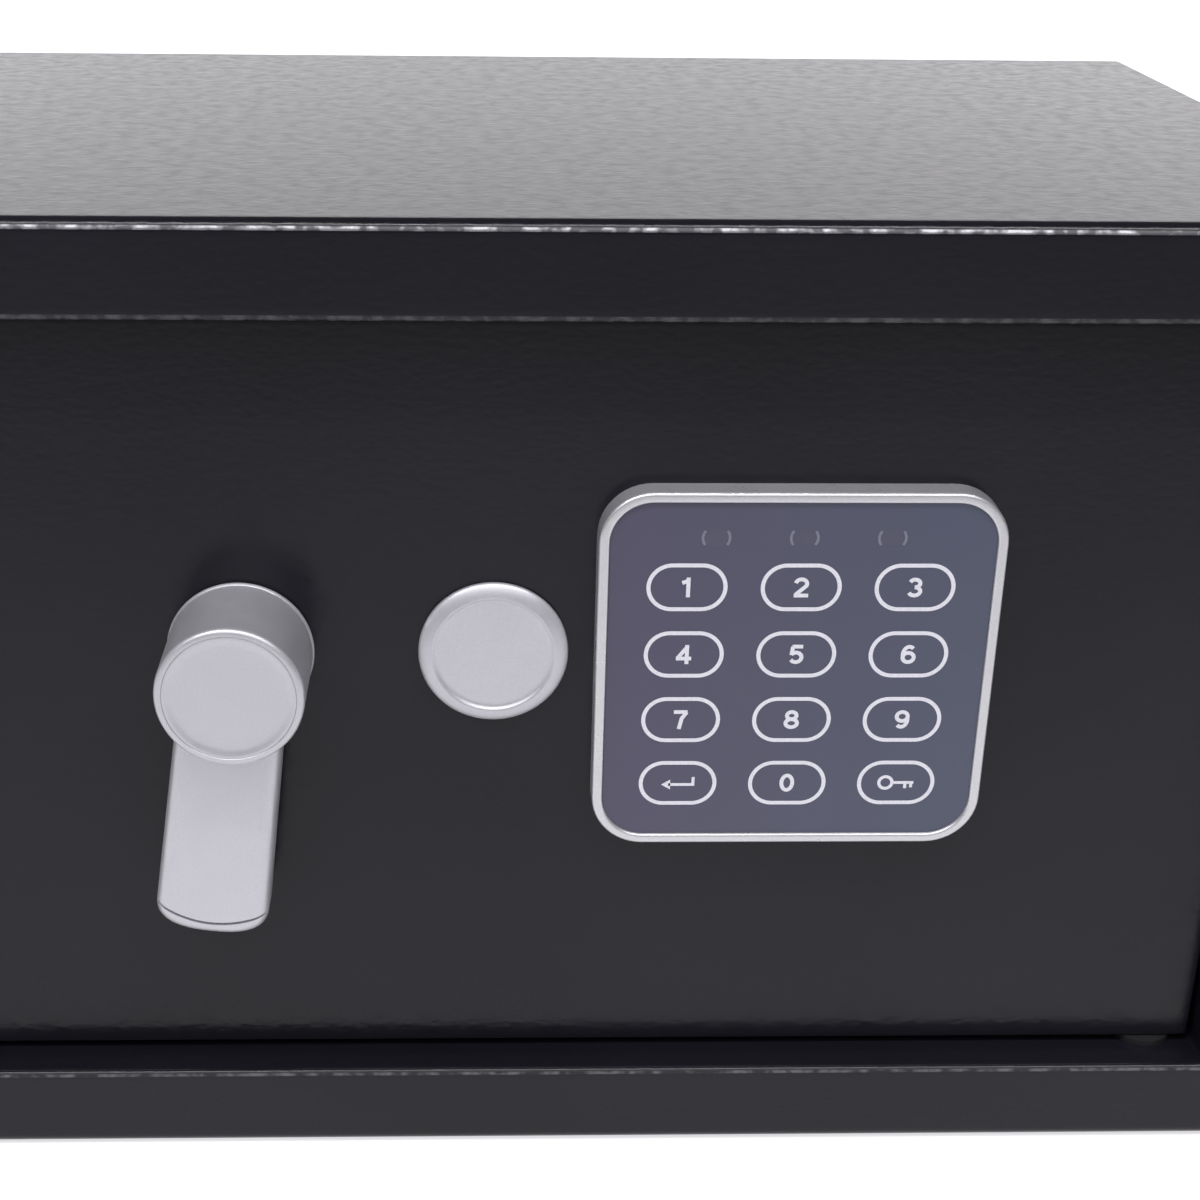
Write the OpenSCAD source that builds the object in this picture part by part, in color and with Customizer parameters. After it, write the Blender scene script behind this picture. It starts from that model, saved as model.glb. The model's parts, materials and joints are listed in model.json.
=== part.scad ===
// In-room safe: a folded steel cabinet with a recessed door that swings on hidden pins.
// The door carries a keypad, an emergency lock under a pull-off cap, and a turning lever
// that throws two round bolts. Millimetres, +X to the right seen from the front,
// +Y towards the back, +Z up. The origin is the centre of the cabinet's underside.

/* [Cabinet] */
// Width of the cabinet
body_w = 310; // [300:1:340]
// Height of the cabinet
body_h = 200; // [195:1:240]
// Depth of the cabinet, without the lever
body_d = 200; // [180:1:300]
// Thickness of the cabinet's sheet steel
sheet = 2; // [1.5:0.1:2.5]
// Outer radius of the folded corners
fold_r = 3; // [2.8:0.1:5]
// Width of the frame round the door, on every side
frame_w = 18.5; // [17:0.5:22]
// Depth of the frame's inner return, from the front
return_d = 20; // [18:0.5:22]
// Diameter of the fixing holes
fixing_dia = 10; // [6:0.5:12]
// Distance between the two fixing holes, in the base and in the back
fixing_pitch = 180; // [120:5:200]
// Height of the back fixing holes
back_fixing_z = 130; // [60:5:150]
// Thickness of the floor mat
mat_t = 3; // [2:0.5:4]

/* [Door] */
// How far the door's face lies behind the frame's face
recess = 9; // [8:0.5:10]
// Gap between the door and the frame
door_gap = 1.5; // [1.3:0.1:2]
// Thickness of the door plate
plate_t = 4; // [3.5:0.5:5]
// Radius of the hinge pins
pin_r = 3; // [2.5:0.1:3]
// Distance from the door's hinge-side edge to the hinge axis
hinge_inset = 9; // [8.5:0.5:10]
// Depth of the inner cover behind the door's face
cover_d = 40; // [38:0.5:44]
// Thickness of the inner cover's sheet
cover_t = 1.2; // [0.8:0.1:1.5]

/* [Lever] */
// Distance from the door's middle to the lever axis, to the left
lever_off = 66.8; // [66:0.1:68]
// Height of the lever axis
lever_z = 113.2; // [112:0.1:114]
// Radius of the knob at the door
knob_r = 14.45; // [13.5:0.05:15.5]
// Radius of the knob's front
knob_front_r = 14.1; // [12:0.1:15]
// How far the knob stands out of the door
knob_h = 22.5; // [20:0.5:26]
// Width of the lever blade at the axis
blade_w = 20.4; // [16:0.1:24]
// Width of the lever blade at its end
blade_end_w = 22.8; // [16:0.1:26]
// Distance from the lever axis to the blade's end
blade_len = 57.3; // [45:0.1:65]
// Thickness of the lever blade
blade_t = 9; // [6:0.5:10]
// Angle of the resting lever, clockwise from straight down
lever_lean = 7.6; // [0:0.1:10]
// Turn of the lever that throws the bolts
lever_turn = 80; // [70:1:90]

/* [Bolts] */
// Radius of a locking bolt
bolt_r = 9; // [8:0.5:9.5]
// Distance between the two bolts
bolt_pitch = 60; // [56:1:64]
// Travel of the bolts
bolt_throw = 16; // [14:0.5:16]

/* [Keypad] */
// Width of the keypad
pad_w = 78.8; // [74:0.2:82]
// Height of the keypad
pad_h = 76; // [72:0.5:80]
// Corner radius of the keypad
pad_r = 10.5; // [8:0.5:12]
// How far the keypad stands out of the door
pad_t = 5.5; // [5:0.1:7]
// Distance between key columns
key_dx = 22.1; // [21:0.1:23]
// Distance between key rows
key_dz = 14.25; // [13.5:0.05:14.5]
// Width of a key
key_w = 14.6; // [13.5:0.1:15.5]
// Height of a key
key_h = 8.8; // [8:0.1:9.5]

/* [Emergency lock] */
// Distance from the door's middle to the lock axis, to the left
lock_off = 17.2; // [16:0.1:18]
// Height of the lock axis
lock_z = 112.9; // [112:0.1:115]
// Radius of the cap over the keyhole
cap_r = 14.8; // [13.5:0.05:16]
// How far the cap stands out of the door
cap_t = 2.4; // [2.2:0.1:4]

/* [Hidden] */
$fn = 64;
EPS = 0.01;
CUT = 1;             // how far a cutter runs past the faces it cuts
RUN_FIT = 0.05;      // radial clearance of a running fit

// Faces and planes
front_y = -body_d / 2;
back_y = body_d / 2;
mid_z = body_h / 2;
door_y = front_y + recess;
open_w = body_w - 2 * frame_w;
open_h = body_h - 2 * frame_w;
door_w = open_w - 2 * door_gap;
door_h = open_h - 2 * door_gap;
door_z = mid_z - door_h / 2;
hinge_x = door_w / 2 - hinge_inset;
hinge_y = door_y + plate_t;

// Hinge
pin_out = 7;         // length of a pin outside the door
pin_in = 16;         // length of a pin inside the door
washer_r = 6;
washer_gap = 0.05;
block_w = 14;
block_d = 5;
block_h = 18;

// Door stops
stop_x = -118;
stop_w = 20;
stop_h = 6.5;
stop_gap = 0.3;

// Floor mat and back panel
mat_clear = 3;
mat_hole_r = 9;
back_inset = 1;

// Inner cover and what holds it
cover_x = -6;
cover_w = 236;
cover_h = 140;
cover_r = 6;
post_dx = 106;
post_dz = 58;
post_r = 4;
post_bore_r = 1.5;
screw_len = 10;
head_r = 3.2;
head_h = 2;
head_slot = [3.6, 2, 0.8];
hole_clear = 0.2;
reset_clear = 0.5;
bolt_clear = 1;

// Lever, spindle and cam
lever_x = -lever_off;
knob_gap = 0.3;
blade_back = 6;      // finger room between the blade and the door
blade_end_r = 22;
knob_rim = 1.45;     // width of the knob's rim round the disc
disc_r = knob_front_r - knob_rim;
disc_fit = 0.02;
disc_t = 1.4;
spindle_r = 4;
spindle_out = 17;
lever_screw_r = 1.6;
lever_screw_in = 6;
lever_screw_head_r = 3;
lever_screw_head_h = 1.6;
screw_pocket_r = 4;
screw_pocket_h = 2;
bush_r = 6;
bush_flange_r = 8;
bush_flange_t = 2;
cam_from = 14;
cam_to = 18;
cam_hub_r = 7;
cam_end_r = 5.5;
cam_pin_r = 3;
cam_pin_end = 24;
cam_half = lever_turn / 2;
cam_r = bolt_throw / (2 * sin(cam_half));
cam_slack = 0.45;    // the pin's swing is a sine and the bolts' travel is even
cam_slot_spare = 2;
cam_pin_x = lever_x + cam_r * sin(cam_half);
cam_pin_top = lever_z - cam_r * cos(cam_half);
cam_pin_low = lever_z - cam_r;

// Bolt work
bolt_depth = 21;     // depth of the bolt axes behind the door's face
bolt_tip_x = -131;
bolt_root_x = -98;
bolt_bevel = 1.5;
flange_from = 12;
flange_to = 30;
carrier_t = 2;
carrier_from = bolt_depth - carrier_t / 2;
carrier_to = bolt_depth + carrier_t / 2;
carrier_right = -34;
carrier_h = 84;
window_w = 10;
window_h = 16;
bolt_screw_r = 2.5;
bolt_screw_in = 12;
bolt_head_r = 5;
bolt_head_h = 3;
guide_x = -121;
guide_t = 3;
guide_to = 32;
guide_foot = 14;
guide_h = 90;
stud_x = -74;
stud_dz = 26;
stud_r = 3;
stud_shoulder_r = 5;
stud_head_h = 1.2;
stud_slot_spare = 0.5;
stud_slot_slack = 0.15;
slide_gap = 0.2;

// Solenoid that blocks the bolts
solenoid_x = -80;
solenoid_w = 22;
solenoid_z = 32;
solenoid_h = 22;
solenoid_top = solenoid_z + solenoid_h;
solenoid_t = 1.5;
coil_r = 9;
coil_bore_r = 3.2;
plunger_r = 3;
plunger_from = 40;
plunger_to = 56.5;
notch_w = 7;
notch_h = 5;
spring_r = 2.2;
spring_wire = 0.3;
spring_turns = 5;
spring_ring = 8;     // points round the wire, and rings in one turn
spring_steps = spring_ring * spring_turns;
spring_from = solenoid_z + solenoid_t + spring_wire;
spring_len = plunger_from - spring_from - spring_wire;

// Emergency lock
lock_x = -lock_off;
barrel_r = 10;
barrel_to = 24;
barrel_rim_r = 12;
barrel_rim_t = 1;
plug_r = 6;
plug_from = 0;       // the plug's face lies behind the rim's
keyway = [1.6, 7, 14];
nut_r = 14;
nut_t = 5;
tail_t = 2;
tail_len = 18;
cap_gap = 0.2;
cap_bore_clear = 0.15;
cap_face_r = 12;
cap_side_drop = 1.5; // the rounded shoulder, as two chamfers
cap_mid_in = 0.9;
cap_mid_drop = 0.5;

// Keypad
pad_x = 42.1;
pad_z = 110;
key_z0 = 107.1;      // height of the key grid's middle
rim_w = 2.2;
panel_sink = 0.6;
panel_t = 1.5;
panel_w = pad_w - 2 * rim_w;
panel_h = pad_h - 2 * rim_w;
panel_r = pad_r - rim_w;
panel_from = panel_sink - pad_t;
panel_to = panel_from + panel_t;
key_gap = 0.15;
board_back = 0.1;
board_t = 1.5;
board_from = -board_back - board_t;
dome_r = 3;
dome_h = 0.8;
led_dx = 16.9;
led_z = 138.7;
led_w = 5.4;
led_h = 3.4;
led_r = 1.2;
led_sink = 1;
boss_dx = 32;
boss_dz = 31.5;
boss_r = 3.4;
boss_bore_r = 1.3;
boss_roof = 0.5;
cable_hole_r = 8;
ribbon = [12, 1];

// Control board
main_x = 45;
main_z = 129;
main_w = 80;
main_h = 46;
main_from = 12;
main_t = 1.6;
standoff_r = 3;
standoff_in = 4;
chip_t = 2.5;
chip_h = 10;
chips = [[-24, 8, 12], [2, 10, 18], [26, -6, 10]];
lead_r = 0.8;
battery_route = [[60, 26, 105], [60, 22, 110], [60, 14.5, 112]];
solenoid_route = [[8, 14.6, 109], [8, 14.6, 104], [0, 12, 92], [-20, 9, 60], [-55, 9, 44],
    [-66, 17, 42], [-70.1, 21, 42]];

// Batteries
bay_x = 52;
bay_z = 74;
bay_w = 64;
bay_h = 60;
bay_from = 20;
bay_wall = 1.5;
cell_r = 7.1;
cell_len = 49;
cell_pitch = 15;
cell_depth = 28.8;
cell_button_r = 2.7;
cell_button_h = 1;
lid_gap = 0.2;
lid_t = 1.8;
lid_r = 1.5;
scoop = [18, 6];
scoop_in = 8;
scoop_depth = 0.8;
bay_to = cover_d - cover_t;
bay_floor = bay_z - bay_h / 2 + bay_wall;
bay_roof = bay_z + bay_h / 2 - bay_wall;
contact_t = 0.5;
contact_r = 5;
contact_spring = [4, 2];
cell_z = bay_roof - contact_t - cell_button_h - cell_len;

// Reset button inside the door
reset_x = 98;
reset_z = 116;
reset_r = 3.5;
reset_out = 1.5;
reset_body = 10;
reset_leg = 1.5;
reset_shelf = 3;
reset_box = 8;
reset_sunk = 0.8;

// Colours
black_coat = [0.10, 0.10, 0.12];
silver = [0.76, 0.76, 0.78];
panel_grey = [0.36, 0.36, 0.43];
zinc = [0.70, 0.71, 0.73];
board_green = [0.10, 0.35, 0.20];
brass = [0.75, 0.62, 0.32];
plastic_black = [0.08, 0.08, 0.09];

// ---- Shared shapes ----

// A flat outline with round corners
module rounded_rect(w, h, r) {
    square([w - 2 * r, h], center = true);
    square([w, h - 2 * r], center = true);
    for (sx = [-1, 1], sz = [-1, 1])
        translate([sx * (w / 2 - r), sz * (h / 2 - r)])
            circle(r = r);
}

// A flat outline with two half-round ends
module stadium(w, h) {
    square([w - h, h], center = true);
    for (sx = [-1, 1])
        translate([sx * (w - h) / 2, 0])
            circle(r = h / 2);
}

// An upright outline, centred on the cabinet's section, between two planes of Y
module along_y(y0, y1) {
    translate([0, y1, mid_z])
        rotate([90, 0, 0])
            linear_extrude(y1 - y0)
                children();
}

// A front-view outline at x, z, between two depths behind the door's face
module slab(x, z, from, to) {
    translate([x, door_y + to, z])
        rotate([90, 0, 0])
            linear_extrude(to - from)
                children();
}

// A round bar along Y, between two depths behind the door's face
module bar(x, z, from, to, r) {
    translate([x, door_y + to, z])
        rotate([90, 0, 0])
            cylinder(r = r, h = to - from);
}

// A round bar along X, at a depth behind the door's face
module cross_bar(x0, x1, depth, z, r) {
    translate([x0, door_y + depth, z])
        rotate([0, 90, 0])
            cylinder(r = r, h = x1 - x0);
}

// A block from X x0 to x1, depth from to, Z z0 to z1
module block(x0, x1, from, to, z0, z1) {
    translate([x0, door_y + from, z0])
        cube([x1 - x0, to - from, z1 - z0]);
}

// Both ends of something that is mirrored about the cabinet's middle height
module both_ends() {
    children();
    translate([0, 0, body_h])
        mirror([0, 0, 1])
            children();
}

// ---- Cabinet ----

module fixing_holes(r) {
    for (sx = [-1, 1])
        translate([sx * fixing_pitch / 2, 0, 0])
            cylinder(r = r, h = 4 * mat_t, center = true);
}

module body_shell() {
    color(black_coat)
        difference() {
            along_y(front_y + sheet, back_y)
                difference() {
                    rounded_rect(body_w, body_h, fold_r);
                    rounded_rect(body_w - 2 * sheet, body_h - 2 * sheet, fold_r - sheet);
                }
            fixing_holes(fixing_dia / 2);
        }
}

module back_panel() {
    color(black_coat)
        along_y(back_y - back_inset - sheet, back_y - back_inset)
            difference() {
                rounded_rect(body_w - 2 * sheet, body_h - 2 * sheet, fold_r - sheet);
                for (sx = [-1, 1])
                    translate([sx * fixing_pitch / 2, back_fixing_z - mid_z])
                        circle(r = fixing_dia / 2);
            }
}

module front_frame() {
    color(black_coat)
        difference() {
            union() {
                along_y(front_y, front_y + sheet)
                    difference() {
                        rounded_rect(body_w, body_h, fold_r);
                        square([open_w, open_h], center = true);
                    }
                along_y(front_y + sheet, front_y + return_d)
                    difference() {
                        square([open_w + 2 * sheet, open_h + 2 * sheet], center = true);
                        square([open_w, open_h], center = true);
                    }
            }
            translate([hinge_x, hinge_y, 0])
                cylinder(r = pin_r + RUN_FIT, h = body_h);
        }
}

module door_stops() {
    color(black_coat)
        both_ends()
            block(stop_x, stop_x + stop_w, plate_t + stop_gap, plate_t + stop_gap + sheet,
                frame_w, frame_w + stop_h);
}

module floor_mat() {
    color([0.2, 0.2, 0.22])
        difference() {
            translate([-body_w / 2 + sheet + mat_clear, front_y + return_d + mat_clear, sheet])
                cube([body_w - 2 * (sheet + mat_clear),
                    body_d - return_d - 2 * mat_clear - back_inset - sheet, mat_t]);
            fixing_holes(mat_hole_r);
        }
}

module hinge_washers() {
    color(plastic_black)
        both_ends()
            translate([hinge_x, hinge_y, frame_w + washer_gap])
                difference() {
                    cylinder(r = washer_r, h = door_gap - 2 * washer_gap);
                    translate([0, 0, -EPS])
                        cylinder(r = pin_r + 2 * RUN_FIT, h = door_gap);
                }
}

// ---- Door and hinge ----

module hinge_bores() {
    both_ends()
        translate([hinge_x, hinge_y, door_z - EPS])
            cylinder(r = pin_r, h = pin_in + EPS);
}

module door_plate() {
    color(black_coat)
        difference() {
            slab(0, mid_z, 0, plate_t)
                square([door_w, door_h], center = true);
            bar(lever_x, lever_z, -CUT, plate_t + CUT, bush_r);
            bar(lock_x, lock_z, -CUT, plate_t + CUT, barrel_r);
            bar(pad_x, pad_z, -CUT, plate_t + CUT, cable_hole_r);
            for (sx = [-1, 1], sz = [-1, 1])
                bar(pad_x + sx * boss_dx, pad_z + sz * boss_dz, -CUT, plate_t + CUT, boss_bore_r);
            hinge_bores();
        }
}

module hinge_blocks() {
    color(zinc)
        difference() {
            both_ends()
                block(hinge_x - block_w / 2, hinge_x + block_w / 2, plate_t, plate_t + block_d,
                    door_z, door_z + block_h);
            hinge_bores();
        }
}

module hinge_pins() {
    color(zinc)
        both_ends()
            translate([hinge_x, hinge_y, door_z - pin_out])
                cylinder(r = pin_r, h = pin_out + pin_in);
}

// ---- Inner cover ----

module at_posts() {
    for (sx = [-1, 1], sz = [-1, 1])
        translate([cover_x + sx * post_dx, 0, mid_z + sz * post_dz])
            children();
}

module inner_cover() {
    color(black_coat)
        difference() {
            slab(cover_x, mid_z, plate_t, cover_d)
                rounded_rect(cover_w, cover_h, cover_r);
            slab(cover_x, mid_z, plate_t - CUT, cover_d - cover_t)
                rounded_rect(cover_w - 2 * cover_t, cover_h - 2 * cover_t, cover_r - cover_t);
            slab(bay_x, bay_z, bay_from, cover_d + CUT)
                square([bay_w, bay_h], center = true);
            bar(reset_x, reset_z, cover_d - 2 * cover_t, cover_d + CUT, reset_r + reset_clear);
            for (sz = [-1, 1])
                cross_bar(cover_x - cover_w / 2 - CUT, cover_x - cover_w / 2 + 2 * cover_t, bolt_depth,
                    mid_z + sz * bolt_pitch / 2, bolt_r + bolt_clear);
            at_posts()
                bar(0, 0, cover_d - 2 * cover_t, cover_d + CUT, post_bore_r + hole_clear);
        }
}

module cover_posts() {
    color(zinc)
        at_posts()
            difference() {
                bar(0, 0, plate_t, cover_d - cover_t, post_r);
                bar(0, 0, cover_d - screw_len, cover_d, post_bore_r);
            }
}

module cover_screws() {
    color(zinc)
        at_posts() {
            bar(0, 0, cover_d - screw_len, cover_d, post_bore_r);
            difference() {
                bar(0, 0, cover_d, cover_d + head_h, head_r);
                for (a = [0, 90])
                    translate([0, door_y + cover_d + head_h, 0])
                        rotate([0, a, 0])
                            cube(head_slot, center = true);
            }
        }
}

// ---- Keypad ----

function key_x(column) = pad_x + (column - 1) * key_dx;
function key_z(row) = key_z0 + (1.5 - row) * key_dz;

module at_bosses() {
    for (sx = [-1, 1], sz = [-1, 1])
        translate([pad_x + sx * boss_dx, 0, pad_z + sz * boss_dz])
            children();
}

module keypad_bezel() {
    color(silver)
        difference() {
            union() {
                slab(pad_x, pad_z, -pad_t, 0)
                    difference() {
                        rounded_rect(pad_w, pad_h, pad_r);
                        rounded_rect(panel_w, panel_h, panel_r);
                    }
                at_bosses()
                    bar(0, 0, panel_to, 0, boss_r);
            }
            at_bosses()
                bar(0, 0, panel_to + boss_roof, CUT, boss_bore_r);
        }
}

module keypad_panel() {
    color(panel_grey)
        slab(pad_x, pad_z, panel_from, panel_to)
            difference() {
                rounded_rect(panel_w, panel_h, panel_r);
                for (column = [0:2], row = [0:3])
                    translate([key_x(column) - pad_x, key_z(row) - pad_z])
                        stadium(key_w + 2 * key_gap, key_h + 2 * key_gap);
                for (i = [-1:1])
                    translate([i * led_dx, led_z - pad_z])
                        stadium(led_w, led_h);
            }
}

module keypad_key(column, row) {
    color(panel_grey)
        slab(key_x(column), key_z(row), panel_from, panel_to)
            stadium(key_w, key_h);
}

module keypad_board() {
    color(board_green)
        difference() {
            slab(pad_x, pad_z, board_from, -board_back)
                rounded_rect(panel_w, panel_h, panel_r);
            at_bosses()
                bar(0, 0, board_from - CUT, CUT, boss_r + hole_clear);
        }
}

module key_domes() {
    color(zinc)
        for (column = [0:2], row = [0:3])
            translate([key_x(column), door_y + board_from, key_z(row)])
                rotate([90, 0, 0])
                    cylinder(r1 = dome_r, r2 = dome_r / 2, h = dome_h);
}

module status_leds() {
    color("green")
        for (i = [-1:1])
            bar(pad_x + i * led_dx, led_z, panel_from + led_sink, board_from, led_r);
}

module keypad_screws() {
    color(zinc)
        at_bosses() {
            bar(0, 0, panel_to + boss_roof, plate_t, boss_bore_r);
            bar(0, 0, plate_t, plate_t + head_h, head_r);
        }
}

module key_1() { keypad_key(0, 0); }
module key_2() { keypad_key(1, 0); }
module key_3() { keypad_key(2, 0); }
module key_4() { keypad_key(0, 1); }
module key_5() { keypad_key(1, 1); }
module key_6() { keypad_key(2, 1); }
module key_7() { keypad_key(0, 2); }
module key_8() { keypad_key(1, 2); }
module key_9() { keypad_key(2, 2); }
module key_enter() { keypad_key(0, 3); }
module key_0() { keypad_key(1, 3); }
module key_program() { keypad_key(2, 3); }

// ---- Electronics ----

module ribbon_cable() {
    color([0.6, 0.6, 0.62])
        slab(pad_x, pad_z, -board_back, main_from)
            square(ribbon, center = true);
}

module control_board() {
    color(board_green)
        slab(main_x, main_z, main_from, main_from + main_t)
            square([main_w, main_h], center = true);
    color(plastic_black)
        for (chip = chips)
            slab(main_x + chip[0], main_z + chip[1], main_from + main_t, main_from + main_t + chip_t)
                square([chip[2], chip_h], center = true);
}

module board_standoffs() {
    color(brass)
        for (sx = [-1, 1], sz = [-1, 1])
            bar(main_x + sx * (main_w / 2 - standoff_in), main_z + sz * (main_h / 2 - standoff_in),
                plate_t, main_from, standoff_r);
}

// A thin lead through a list of points, each [x, depth, z]
module lead(route, r) {
    for (i = [0:len(route) - 2])
        hull()
            for (p = [route[i], route[i + 1]])
                translate([p[0], door_y + p[1], p[2]])
                    sphere(r = r, $fn = 10);
}

module wiring() {
    color([0.75, 0.1, 0.1])
        lead(battery_route, lead_r);
    color([0.75, 0.1, 0.1])
        lead(solenoid_route, lead_r);
}

// ---- Bolt work on the door ----

module spindle_bush() {
    color(brass)
        difference() {
            union() {
                bar(lever_x, lever_z, 0, plate_t, bush_r);
                bar(lever_x, lever_z, plate_t, plate_t + bush_flange_t, bush_flange_r);
            }
            bar(lever_x, lever_z, -CUT, plate_t + bush_flange_t + CUT, spindle_r + RUN_FIT);
        }
}

module guide_bracket() {
    color(zinc)
        difference() {
            union() {
                block(guide_x, guide_x + guide_t, plate_t, guide_to,
                    mid_z - guide_h / 2, mid_z + guide_h / 2);
                block(guide_x + guide_t, guide_x + guide_t + guide_foot, plate_t, plate_t + sheet,
                    mid_z - guide_h / 2, mid_z + guide_h / 2);
            }
            for (sz = [-1, 1])
                cross_bar(guide_x - CUT, guide_x + guide_t + CUT, bolt_depth,
                    mid_z + sz * bolt_pitch / 2, bolt_r + RUN_FIT);
        }
}

module guide_studs() {
    color(zinc)
        for (sz = [-1, 1]) {
            bar(stud_x, mid_z + sz * stud_dz, plate_t, carrier_from - slide_gap, stud_shoulder_r);
            bar(stud_x, mid_z + sz * stud_dz, carrier_from - slide_gap, carrier_to + slide_gap, stud_r);
            bar(stud_x, mid_z + sz * stud_dz, carrier_to + slide_gap,
                carrier_to + slide_gap + stud_head_h, stud_shoulder_r);
        }
}

// ---- Solenoid ----

module solenoid_frame() {
    color(zinc)
        difference() {
            block(solenoid_x - solenoid_w / 2, solenoid_x + solenoid_w / 2, plate_t,
                bolt_depth + solenoid_w / 2, solenoid_z, solenoid_top);
            block(solenoid_x - solenoid_w, solenoid_x + solenoid_w, plate_t - CUT,
                bolt_depth + solenoid_w / 2 - solenoid_t,
                solenoid_z + solenoid_t, solenoid_top - solenoid_t);
            translate([solenoid_x, door_y + bolt_depth, solenoid_top - 2 * solenoid_t])
                cylinder(r = coil_bore_r, h = 3 * solenoid_t);
        }
}

module solenoid_coil() {
    color([0.6, 0.35, 0.15])
        translate([solenoid_x, door_y + bolt_depth, solenoid_z + solenoid_t])
            difference() {
                cylinder(r = coil_r, h = solenoid_h - 2 * solenoid_t);
                translate([0, 0, -EPS])
                    cylinder(r = coil_bore_r, h = solenoid_h);
            }
}

module solenoid_plunger() {
    color(zinc)
        translate([solenoid_x, door_y + bolt_depth, plunger_from])
            cylinder(r = plunger_r, h = plunger_to - plunger_from);
}

// Point j round the wire, on ring i of a coil spring
function spring_point(i, j) =
    let (a = 360 * i / spring_ring, b = 360 * j / spring_ring, r = spring_r + spring_wire * cos(b))
    [r * cos(a), r * sin(a), spring_from + spring_len * i / spring_steps + spring_wire * sin(b)];

module plunger_spring() {
    color(zinc)
        translate([solenoid_x, door_y + bolt_depth, 0])
            polyhedron(
                points = [for (i = [0:spring_steps], j = [0:spring_ring - 1]) spring_point(i, j)],
                faces = concat(
                    [for (i = [0:spring_steps - 1], j = [0:spring_ring - 1])
                        [i * spring_ring + j, i * spring_ring + (j + 1) % spring_ring,
                            (i + 1) * spring_ring + (j + 1) % spring_ring, (i + 1) * spring_ring + j]],
                    [[for (j = [spring_ring - 1:-1:0]) j]],
                    [[for (j = [0:spring_ring - 1]) spring_steps * spring_ring + j]]));
}

// ---- Emergency lock ----

module lock_cylinder() {
    color(zinc)
        difference() {
            union() {
                bar(lock_x, lock_z, -barrel_rim_t, 0, barrel_rim_r);
                bar(lock_x, lock_z, 0, barrel_to, barrel_r);
            }
            bar(lock_x, lock_z, -barrel_rim_t - CUT, barrel_to + CUT, plug_r + RUN_FIT);
        }
}

module lock_nut() {
    color(zinc)
        difference() {
            translate([lock_x, door_y + plate_t + nut_t, lock_z])
                rotate([90, 0, 0])
                    cylinder(r = nut_r, h = nut_t, $fn = 6);
            bar(lock_x, lock_z, plate_t - CUT, plate_t + nut_t + CUT, barrel_r);
        }
}

module lock_plug() {
    color(brass)
        difference() {
            bar(lock_x, lock_z, plug_from, barrel_to + slide_gap, plug_r);
            slab(lock_x, lock_z, plug_from - CUT, keyway[2])
                square([keyway[0], keyway[1]], center = true);
        }
}

module lock_tail() {
    color(zinc)
        slab(lock_x, lock_z, barrel_to + slide_gap, barrel_to + slide_gap + tail_t) {
            circle(r = plug_r);
            translate([-plug_r / 2, -tail_len])
                square([plug_r, tail_len]);
            translate([0, -tail_len])
                circle(r = plug_r / 2);
        }
}

module key_cover() {
    bore_r = barrel_rim_r + cap_bore_clear;
    color(silver)
        translate([lock_x, door_y, lock_z])
            rotate([90, 0, 0])
                rotate_extrude()
                    polygon([[0, barrel_rim_t + cap_gap], [bore_r, barrel_rim_t + cap_gap],
                        [bore_r, cap_gap], [cap_r, cap_gap], [cap_r, cap_t - cap_side_drop],
                        [cap_r - cap_mid_in, cap_t - cap_mid_drop], [cap_face_r, cap_t], [0, cap_t]]);
}

// ---- Batteries ----

module battery_box() {
    color(plastic_black)
        difference() {
            slab(bay_x, bay_z, bay_from, bay_to)
                square([bay_w, bay_h], center = true);
            slab(bay_x, bay_z, bay_from + bay_wall, bay_to + CUT)
                square([bay_w - 2 * bay_wall, bay_h - 2 * bay_wall], center = true);
        }
}

module battery_contacts() {
    color(zinc)
        for (i = [-1.5:1:1.5])
            translate([bay_x + i * cell_pitch, door_y + cell_depth, 0]) {
                translate([0, 0, bay_floor])
                    cylinder(r = contact_r, h = contact_t);
                translate([0, 0, bay_floor + contact_t])
                    cylinder(r1 = contact_spring[0], r2 = contact_spring[1],
                        h = cell_z - bay_floor - contact_t);
                translate([0, 0, bay_roof - contact_t])
                    cylinder(r = contact_r, h = contact_t);
            }
}

module batteries() {
    color([0.25, 0.3, 0.45])
        for (i = [-1.5:1:1.5])
            translate([bay_x + i * cell_pitch, door_y + cell_depth, cell_z]) {
                cylinder(r = cell_r, h = cell_len);
                translate([0, 0, cell_len])
                    cylinder(r = cell_button_r, h = cell_button_h);
            }
}

module battery_cover() {
    color(plastic_black)
        difference() {
            slab(bay_x, bay_z, bay_to + lid_gap, bay_to + lid_gap + lid_t)
                rounded_rect(bay_w - 2 * lid_gap, bay_h - 2 * lid_gap, lid_r);
            slab(bay_x, bay_z + bay_h / 2 - scoop_in,
                bay_to + lid_gap + lid_t - scoop_depth, cover_d + lid_t)
                stadium(scoop[0], scoop[1]);
        }
}

// ---- Reset button ----

module reset_switch() {
    half = reset_body / 2;
    shelf = cover_d - cover_t - reset_shelf;
    color(plastic_black) {
        block(reset_x - half - reset_leg, reset_x + half + reset_leg, shelf - reset_box, shelf,
            reset_z - half, reset_z + half);
        for (x = [reset_x - half - reset_leg, reset_x + half])
            block(x, x + reset_leg, shelf, cover_d - cover_t, reset_z - half, reset_z + half);
    }
}

module reset_button() {
    color("red")
        bar(reset_x, reset_z, cover_d - cover_t - reset_sunk, cover_d + reset_out, reset_r);
}

// ---- Lever, turned by lever_turn about the spindle ----

// The lever's own frame: origin on the axis at the door's face, +Z out of the door
module on_lever() {
    translate([lever_x, door_y, lever_z])
        rotate([90, 0, 0])
            rotate([0, 0, -lever_lean])
                children();
}

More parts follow.
